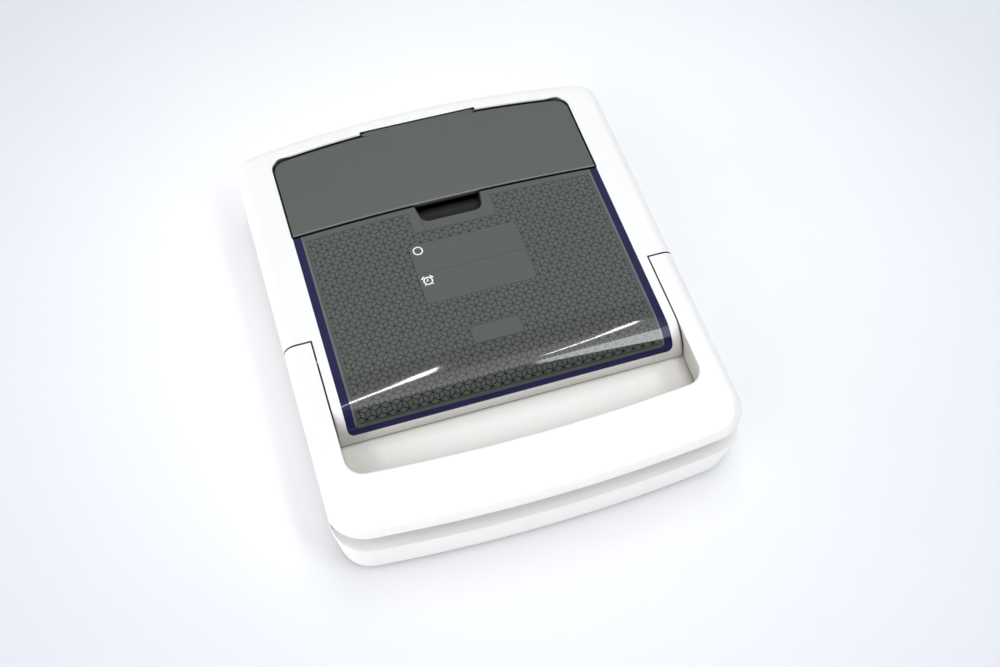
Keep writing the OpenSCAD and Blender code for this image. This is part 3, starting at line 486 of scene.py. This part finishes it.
LOOK = {
    # the white housing gets painted shade in its gaps and in the hollow behind the grip bar
    "white_housing": moulding("white_housing", (0.863, 0.855, 0.845), 0.38, tone=0.008,
                              gap=(3.0, 0.03, 0.5), hollow=22.0),
    "stage": moulding("stage", (0.66, 0.69, 0.70), 0.38, tone=0.02),
    "well_plastic": moulding("well_plastic", (0.80, 0.83, 0.84), 0.2, grain=0.8, height=0.006,
                             spread=0.03, tone=0.015),
    "navy_panel": panel_gloss("navy_panel", navy=(0.0155, 0.015, 0.060), tray=(0.024, 0.0245, 0.019)),
    # the film's rim colour is a painted highlight along its side edges
    "grey_film": printed_film("grey_film", grey=(0.070, 0.076, 0.067), line=(0.003, 0.0035, 0.003),
                              border_line=(0.020, 0.021, 0.012), rim=(0.125, 0.13, 0.13)),
    # the cover's edge colour is a painted highlight along its front edge
    "grey_cover": satin_cover("grey_cover", grey=(0.076, 0.082, 0.076), edge=(0.19, 0.20, 0.195)),
    "black_plastic": moulding("black_plastic", (0.025, 0.025, 0.027), 0.42),
    "rubber": moulding("rubber", (0.032, 0.032, 0.034), 0.62, grain=0.5, height=0.03, spread=0.1, tone=0.2),
    "steel": brushed_steel("steel"),
    "glass": tempered_glass("glass"),
}


# Pieces

def smooth_solid(node, degrees=38):
    """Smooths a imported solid's shading: welds its triangles, splits hard edges, weighs normals by area."""
    piece = NODE[node]
    mesh = piece.data
    if "custom_normal" in mesh.attributes:
        mesh.attributes.remove(mesh.attributes["custom_normal"])
    mesh.polygons.foreach_set("use_smooth", np.ones(len(mesh.polygons), bool))
    mesh.edges.foreach_set("use_edge_sharp", np.zeros(len(mesh.edges), bool))
    piece.modifiers.new("weld", "WELD").merge_threshold = 2e-6
    piece.modifiers.new("split", "EDGE_SPLIT").split_angle = math.radians(degrees)
    piece.modifiers.new("weigh", "WEIGHTED_NORMAL").weight = 90


def metres(points):
    """Points given in millimetres, in the frame's metres."""
    return np.asarray(points, float) / 1000.0


def skin_profile():
    """The lid's skin seen from the side: length along it, height, y, and how far it has turned forward.

    The turn grows as the soft ramp w log(1 + exp((ROLL_Y - s) / w)) / R with w = SOFT_START, which is flat
    at first and becomes the roll of radius R. y and z are the running sums of its cosine and sine."""
    length = np.linspace(70.0, -90.0, 3201)
    step = length[0] - length[1]
    turn = SOFT_START * np.log1p(np.exp((ROLL_Y - length) / SOFT_START)) / ROLL_R
    y = length[0] - np.concatenate([[0.0], np.cumsum(np.cos(turn))[:-1]]) * step
    z = TOP_Z - np.concatenate([[0.0], np.cumsum(np.sin(turn))[:-1]]) * step
    return length[::-1], z[::-1], y[::-1], turn[::-1]


LENGTH, SKIN_Z, SKIN_Y, SKIN_TURN = skin_profile()


def on_roll(x, s, depth):
    """A point of the lid's skin: s runs along it and equals y on the flat top, and depth goes inwards."""
    turn = np.interp(s, LENGTH, SKIN_TURN)
    y = np.interp(s, LENGTH, SKIN_Y) + depth * np.sin(turn)
    z = np.interp(s, LENGTH, SKIN_Z) - depth * np.cos(turn)
    return np.stack([x, y, z], -1)


def surface_end(z):
    """The length along the skin at which it has come down to the height z."""
    low = LENGTH < 0
    return float(np.interp(z, SKIN_Z[low], LENGTH[low]))


def piece_from(name, points, faces, material, sharp):
    """A smooth mesh object at the origin from points in millimetres, with edges over sharp degrees kept."""
    mesh = bpy.data.meshes.new(name)
    mesh.from_pydata(metres(points).tolist(), [], faces)
    mesh.validate()
    mesh.materials.append(material)
    mesh.polygons.foreach_set("use_smooth", np.ones(len(mesh.polygons), bool))
    mesh.set_sharp_from_angle(angle=math.radians(sharp))
    made = bpy.data.objects.new(name, mesh)
    bpy.context.scene.collection.objects.link(made)
    return made


def sheet_faces(rows, columns):
    """Quads of a closed slab: an upper grid, a lower grid turned over, and the wall round the edge."""
    index = np.arange(rows * columns).reshape(rows, columns)
    upper = np.stack([index[:-1, :-1], index[:-1, 1:], index[1:, 1:], index[1:, :-1]], -1).reshape(-1, 4)
    lower = upper[:, ::-1] + rows * columns
    loop = np.concatenate([index[0, :-1], index[:-1, -1], index[-1, :0:-1], index[:0:-1, 0]])
    ahead = np.roll(loop, -1)
    wall = np.stack([loop, loop + rows * columns, ahead + rows * columns, ahead], -1)
    return np.concatenate([upper, lower, wall])


def rounded_end(x, half, radius):
    """How far a straight end draws back at x where its corners are quarter circles."""
    over = np.clip(np.abs(x) - (half - radius), 0, radius)
    return radius - np.sqrt(radius ** 2 - over ** 2)


def notched_sheet(name, thick, material):
    """The film: a sheet bent over the roll, with the finger notch in its rear edge.

    Columns run along x and rows along the surface. Each column starts at the rounded front end and stops at
    the bowed rear edge or at the notch, so the two sides of the notch are pairs of columns a hundredth of a
    millimetre apart. Near the notch the columns lean outwards by NOTCH_TAPER over its length, and the lean
    fades to the side."""
    arc = FILM_HALF - FILM_CORNER * (1 - np.cos(np.linspace(0, math.pi / 2, 7)))
    bend = NOTCH_HALF - NOTCH_R * (1 - np.cos(np.linspace(0, math.pi / 2, 9)))
    beside = np.linspace(NOTCH_HALF + 3, FILM_HALF - FILM_CORNER, 18)
    inner = np.linspace(0, NOTCH_HALF - NOTCH_R, 5)
    right = np.unique(np.concatenate([inner, bend, [NOTCH_HALF + 0.01], beside, arc]).round(4))
    x = np.concatenate([-right[:0:-1], right])
    start = surface_end(FILM_END_Z) + rounded_end(x, FILM_HALF, FILM_CORNER)
    rear = COVER_FRONT_Y - COVER_GAP - COVER_FRONT_BOW * (x / 100) ** 2
    notch = NOTCH_FRONT_Y + rounded_end(x, NOTCH_HALF, NOTCH_R)
    stop = np.where(np.abs(x) <= NOTCH_HALF, notch, rear)
    flat = ROLL_Y + 12
    front_share = np.linspace(0, 1, 48)[:, None]
    rear_share = np.linspace(0, 1, 24)[1:, None]
    s = np.concatenate([start + (flat - start) * front_share, flat + (stop - flat) * rear_share])
    lean = NOTCH_TAPER * np.clip((s - NOTCH_FRONT_Y) / NOTCH_LENGTH, 0, 1)
    near = np.clip(1 - np.abs(np.abs(x) - NOTCH_HALF) / NOTCH_HALF, 0, 1)
    xs = x + np.sign(x) * near * lean
    top = on_roll(xs, s, 0.0).reshape(-1, 3)
    under = on_roll(xs, s, thick).reshape(-1, 3)
    made = piece_from(name, np.concatenate([top, under]), sheet_faces(*s.shape).tolist(), material, 50)
    mesh = made.data
    uv = np.tile(np.stack([xs, s], -1).reshape(-1, 2), (2, 1)).astype(np.float32)
    corner = np.zeros(len(mesh.loops), np.int32)
    mesh.loops.foreach_get("vertex_index", corner)
    mesh.uv_layers.new(name="film").data.foreach_set("uv", uv[corner].ravel())
    bevel = made.modifiers.new("soft edge", "BEVEL")
    bevel.width, bevel.segments, bevel.angle_limit = 0.00012, 2, math.radians(50)
    return made


def turned_faces(rings, around):
    """Faces of a closed turned body: quads between rings, and triangles to one pole at each end."""
    index = 1 + np.arange(rings * around).reshape(rings, around)
    ahead = np.roll(index, -1, axis=1)
    walls = np.stack([index[:-1], index[1:], ahead[1:], ahead[:-1]], -1).reshape(-1, 4)
    last = 1 + rings * around
    first_cap = np.stack([np.zeros(around, int), index[0], ahead[0]], -1)
    last_cap = np.stack([index[-1], np.full(around, last), ahead[-1]], -1)
    return walls.tolist() + first_cap.tolist() + last_cap.tolist()


def turned_pieces(name, places, profile, material, sunk=None, around=48):
    """Bodies turned about upright axes at the places.

    The profile is (radius, height) pairs that start and end on the axis and run outwards, then up. sunk
    gives how far a point of the underside is pressed in."""
    radius, height = np.asarray(profile, float).T
    angle = np.linspace(0, 2 * math.pi, around, endpoint=False)
    x = radius[1:-1, None] * np.cos(angle)
    y = radius[1:-1, None] * np.sin(angle)
    z = np.broadcast_to(height[1:-1, None], x.shape)
    body = np.stack([x, y, z], -1).reshape(-1, 3)
    body = np.concatenate([[[0, 0, height[0]]], body, [[0, 0, height[-1]]]])
    if sunk:
        low = body[:, 2] <= height[0] + 1e-6
        body[:, 2] = body[:, 2] + np.where(low, sunk(body[:, 0], body[:, 1]), 0.0)
    faces = turned_faces(len(radius) - 2, around)
    points = np.concatenate([body + (px, py, 0) for px, py in places])
    shift = len(body)
    every = [[v + k * shift for v in face] for k in range(len(places)) for face in faces]
    return piece_from(name, points, every, material, 40)


def cross_recess(reach, wide, deep):
    """Depth of a cross recess: two bars of half length reach and half width wide, with sloped walls."""
    def depth(x, y):
        def bar(u, v):
            return np.clip((wide - np.abs(u)) / 0.12, 0, 1) * np.clip((reach - np.abs(v)) / 0.3, 0, 1)
        return deep * np.maximum(bar(x, y), bar(y, x))
    return depth


def recessed_screws(name, node, places, head_r, head_h, shank_r):
    """Screws with their heads down: a rounded rim, a cross recess, and a plain shank with a blunt point."""
    (_, _, low), (_, _, high) = (np.asarray(corner) * 1000 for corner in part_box(node))
    rim, innermost, tip_r = 0.25, 0.12, 0.2
    turn = np.linspace(0, math.pi / 2, 5)[1:]
    profile = [(0, low)] + [(r, low) for r in np.linspace(innermost, head_r - rim, 16)]
    profile += [(head_r - rim + rim * math.sin(a), low + rim - rim * math.cos(a)) for a in turn]
    profile += [(head_r, low + head_h), (shank_r, low + head_h)]
    profile += [(shank_r, high - shank_r), (tip_r, high), (0, high)]
    recess = cross_recess(reach=0.62 * head_r, wide=0.17 * head_r, deep=0.45 * head_h)
    made = turned_pieces(name, places, profile, LOOK["steel"], recess)
    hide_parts(node)
    return made


for node in NODE:
    smooth_solid(node, 60 if node in ("plate_springs", "bar_springs") else 38)
for row in frame["record"]["subparts"]:
    piece = NODE[row["node"]]
    piece.data.materials.clear()
    piece.data.materials.append(LOOK[row["material_slot"]])

film = notched_sheet("printed_film", FILM_THICK, LOOK["grey_film"])
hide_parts("label_film")
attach(film, "lid")

feet = turned_pieces("cushion_feet", FEET, FOOT_PROFILE, LOOK["rubber"])
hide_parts("rubber_feet")
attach(feet, "base")

grip_y = 500 * sum(corner[1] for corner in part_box("grip_screws"))
grip_screws = [(x, grip_y) for x in GRIP_SCREW_X]
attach(recessed_screws("cross_head_base_screws", "base_screws", BASE_SCREWS, 3.0, 1.6, 1.4), "base")
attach(recessed_screws("cross_head_liner_screws", "liner_screws", LINER_SCREWS, 2.2, 1.1, 1.1), "lid")
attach(recessed_screws("cross_head_grip_screws", "grip_screws", grip_screws, 2.0, 1.0, 1.0), "handle")


# Stage, lights and camera

def softbox(name, place, size, level, aim=(0, 0, 0.03), colour=(1, 1, 1)):
    """An area light of even radiance, where 1 is the white of the background. It is aimed at the device."""
    light = bpy.data.lights.new(name, "AREA")
    light.shape, light.size, light.size_y = "RECTANGLE", *size
    light.energy = level * math.pi * size[0] * size[1]
    light.color = colour
    made = bpy.data.objects.new(name, light)
    turn = (Vector(aim) - Vector(place)).to_track_quat("-Z", "Y").to_matrix().to_4x4()
    made.matrix_world = Matrix.Translation(place) @ turn
    made.visible_camera = False
    bpy.context.scene.collection.objects.link(made)


def level_plane(name, outline, z):
    """A level plane inside an outline of (x, y) corners, with its tree and its shader."""
    mesh = bpy.data.meshes.new(name)
    mesh.from_pydata([(x, y, z) for x, y in outline], [], [range(len(outline))])
    made = bpy.data.objects.new(name, mesh)
    bpy.context.scene.collection.objects.link(made)
    material, t, shader = finish(name, Roughness=0.9, Specular_IOR_Level=0.1)
    mesh.materials.append(material)
    return made, t, shader


def ceiling_card(x, z, levels):
    """A glowing card over the device, which the camera doesn't see.

    levels pairs places along y, rising, with the radiance there, which runs straight between them."""
    near, far = levels[0][0], levels[-1][0]
    made, t, _ = level_plane("ceiling card", [(x[0], near), (x[1], near), (x[1], far), (x[0], far)], z)
    made.visible_camera = False
    along = t.parts(t.place())[1]
    level = levels[0][1]
    for (near, low), (far, high) in zip(levels, levels[1:]):
        level = t.math("ADD", level, t.ramp(along, near, far, 0.0, high - low))
    t.glow((1.0, 1.0, 1.0), level)


def bright_pane(name, outline, z, level, colour=(1.0, 1.0, 1.0)):
    """A glowing pane overhead inside an outline. The camera sees only its mirror image on the film."""
    made, t, _ = level_plane(name, outline, z)
    made.visible_camera = False
    t.glow(colour, level)


def blind_gap(name, start, bend, end, narrow, wide, level):
    """The bright gap between two blinds, which the film's roll mirrors as a streak.

    Its middle line is the quadratic curve from start to end that leans towards bend. The half width grows
    from narrow to wide with the fourth power of the way along it, and closes over the last 15 percent."""
    way = np.linspace(0, 1, 25)[:, None]
    start, bend, end = np.array([start, bend, end])
    line = (1 - way) ** 2 * start + 2 * way * (1 - way) * bend + way ** 2 * end
    tangent = (1 - way) * (bend - start) + way * (end - bend)
    across = np.stack([tangent[:, 1], -tangent[:, 0]], -1) / np.linalg.norm(tangent, axis=1)[:, None]
    half = (narrow + (wide - narrow) * way ** 4) * np.clip((1 - way) / 0.15, 0, 1)
    outline = np.concatenate([line + half * across, (line - half * across)[-2::-1]])
    bright_pane(name, outline.tolist(), PANE_Z, level)


def pale_floor():
    """A large matt table. The camera sees it with a painted pool of light, whitest round the device and
    greyer further out, fading into the backdrop far away, and its bounce on the device stays plain."""
    corners = [(TABLE_HALF * x, TABLE_HALF * y) for x, y in ((-1, -1), (1, -1), (1, 1), (-1, 1))]
    _, t, shader = level_plane("table", corners, 0.0)
    place = t.place()
    away = t.vector("DISTANCE", place, (0.03, 0.05, 0.0), out=1)
    # painted pool of light: the seen colour falls from near white by the device to grey 0.37 m away
    tone = t.mix(t.ramp(away, 0.13, 0.37), (0.935, 0.935, 0.945), (0.72, 0.735, 0.783))
    cloud = t.math("MULTIPLY_ADD", t.noise(place, 3.0, 2.0), 0.02, 0.99)
    seen = t.vector("MULTIPLY", t.grey(cloud), tone)
    direct = t.node("ShaderNodeLightPath").outputs["Is Camera Ray"]
    distant = t.ramp(away, 0.6, 1.6)
    seen = t.mix(distant, seen, (0.0, 0.0, 0.0))
    t.feed(t.mix(direct, (0.91, 0.912, 0.92), seen), shader.inputs["Base Color"])
    t.feed(BACKDROP, shader.inputs["Emission Color"])
    t.feed(t.math("MULTIPLY", direct, distant), shader.inputs["Emission Strength"])


CEILING = 1.6
PANE_Z = CEILING - 0.01
TABLE_HALF = 4.0
BACKDROP = (0.94, 0.945, 0.985)
EYE = (-0.1205, -0.3702, 0.6201)
HEADING, TILT, ROLL = (math.radians(degrees) for degrees in (-20.121, 31.889, 2.765))

pale_floor()
ceiling_card((-0.3, 0.88), CEILING, [(-1.3, 0.0), (-0.85, 0.25), (-0.35, 0.5), (-0.12, 2.4), (0.5, 1.8),
                                     (0.7, 1.0), (0.86, 0.76)])
softbox("rear card", (0.33, 1.31, CEILING), (1.4, 0.9), 0.75, (0.33, 1.31, 0), (0.80, 0.93, 1.0))
softbox("left softbox", (-1.3, -0.8, 1.1), (1.4, 1.2), 2.1)
softbox("left low card", (-1.7, 0.4, 0.45), (1.2, 0.8), 3.0)
softbox("front low card", (-0.2, -1.7, 0.3), (1.8, 0.5), 3.1)
softbox("right softbox", (1.7, 0.7, 1.0), (0.9, 0.9), 1.0)
bright_pane("front window", [(0.335, -0.24), (0.66, -0.24), (0.95, -1.62), (0.80, -1.62), (0.35, -0.50)],
            PANE_Z, 9.3, (0.93, 0.97, 1.0))
blind_gap("left blind gap", (-0.028, 0.16), (0.035, 0.57), (0.192, 0.79), 0.010, 0.040, 33.0)
blind_gap("right blind gap", (0.357, 0.08), (0.465, 0.38), (0.584, 0.67), 0.009, 0.030, 33.0)

world = bpy.data.worlds.new("tent")
bpy.context.scene.world = world
world.use_nodes = True
sky = Tree(world.node_tree)
background = world.node_tree.nodes["Background"]
path = sky.node("ShaderNodeLightPath").outputs
seen = sky.math("MAXIMUM", path["Is Camera Ray"], path["Is Transmission Ray"])
bearing = sky.parts(sky.node("ShaderNodeTexCoord").outputs["Generated"])[1]
room = sky.mix(sky.ramp(bearing, -0.35, 0.15), (0.10, 0.10, 0.11), (0.46, 0.47, 0.49))
sky.feed(sky.mix(seen, room, BACKDROP), background.inputs["Color"])
background.inputs["Strength"].default_value = 1.0

lens = bpy.data.cameras.new("camera")
lens.lens, lens.sensor_width, lens.sensor_fit = 45.28, 36.0, "HORIZONTAL"
lens.clip_start, lens.clip_end = 0.01, 20.0
camera = bpy.data.objects.new("camera", lens)
bpy.context.scene.collection.objects.link(camera)
look = Matrix.Rotation(HEADING, 4, "Z") @ Matrix.Rotation(TILT, 4, "X") @ Matrix.Rotation(ROLL, 4, "Z")
camera.matrix_world = Matrix.Translation(EYE) @ look
bpy.context.scene.camera = camera
bpy.context.scene.view_settings.view_transform = "Standard"
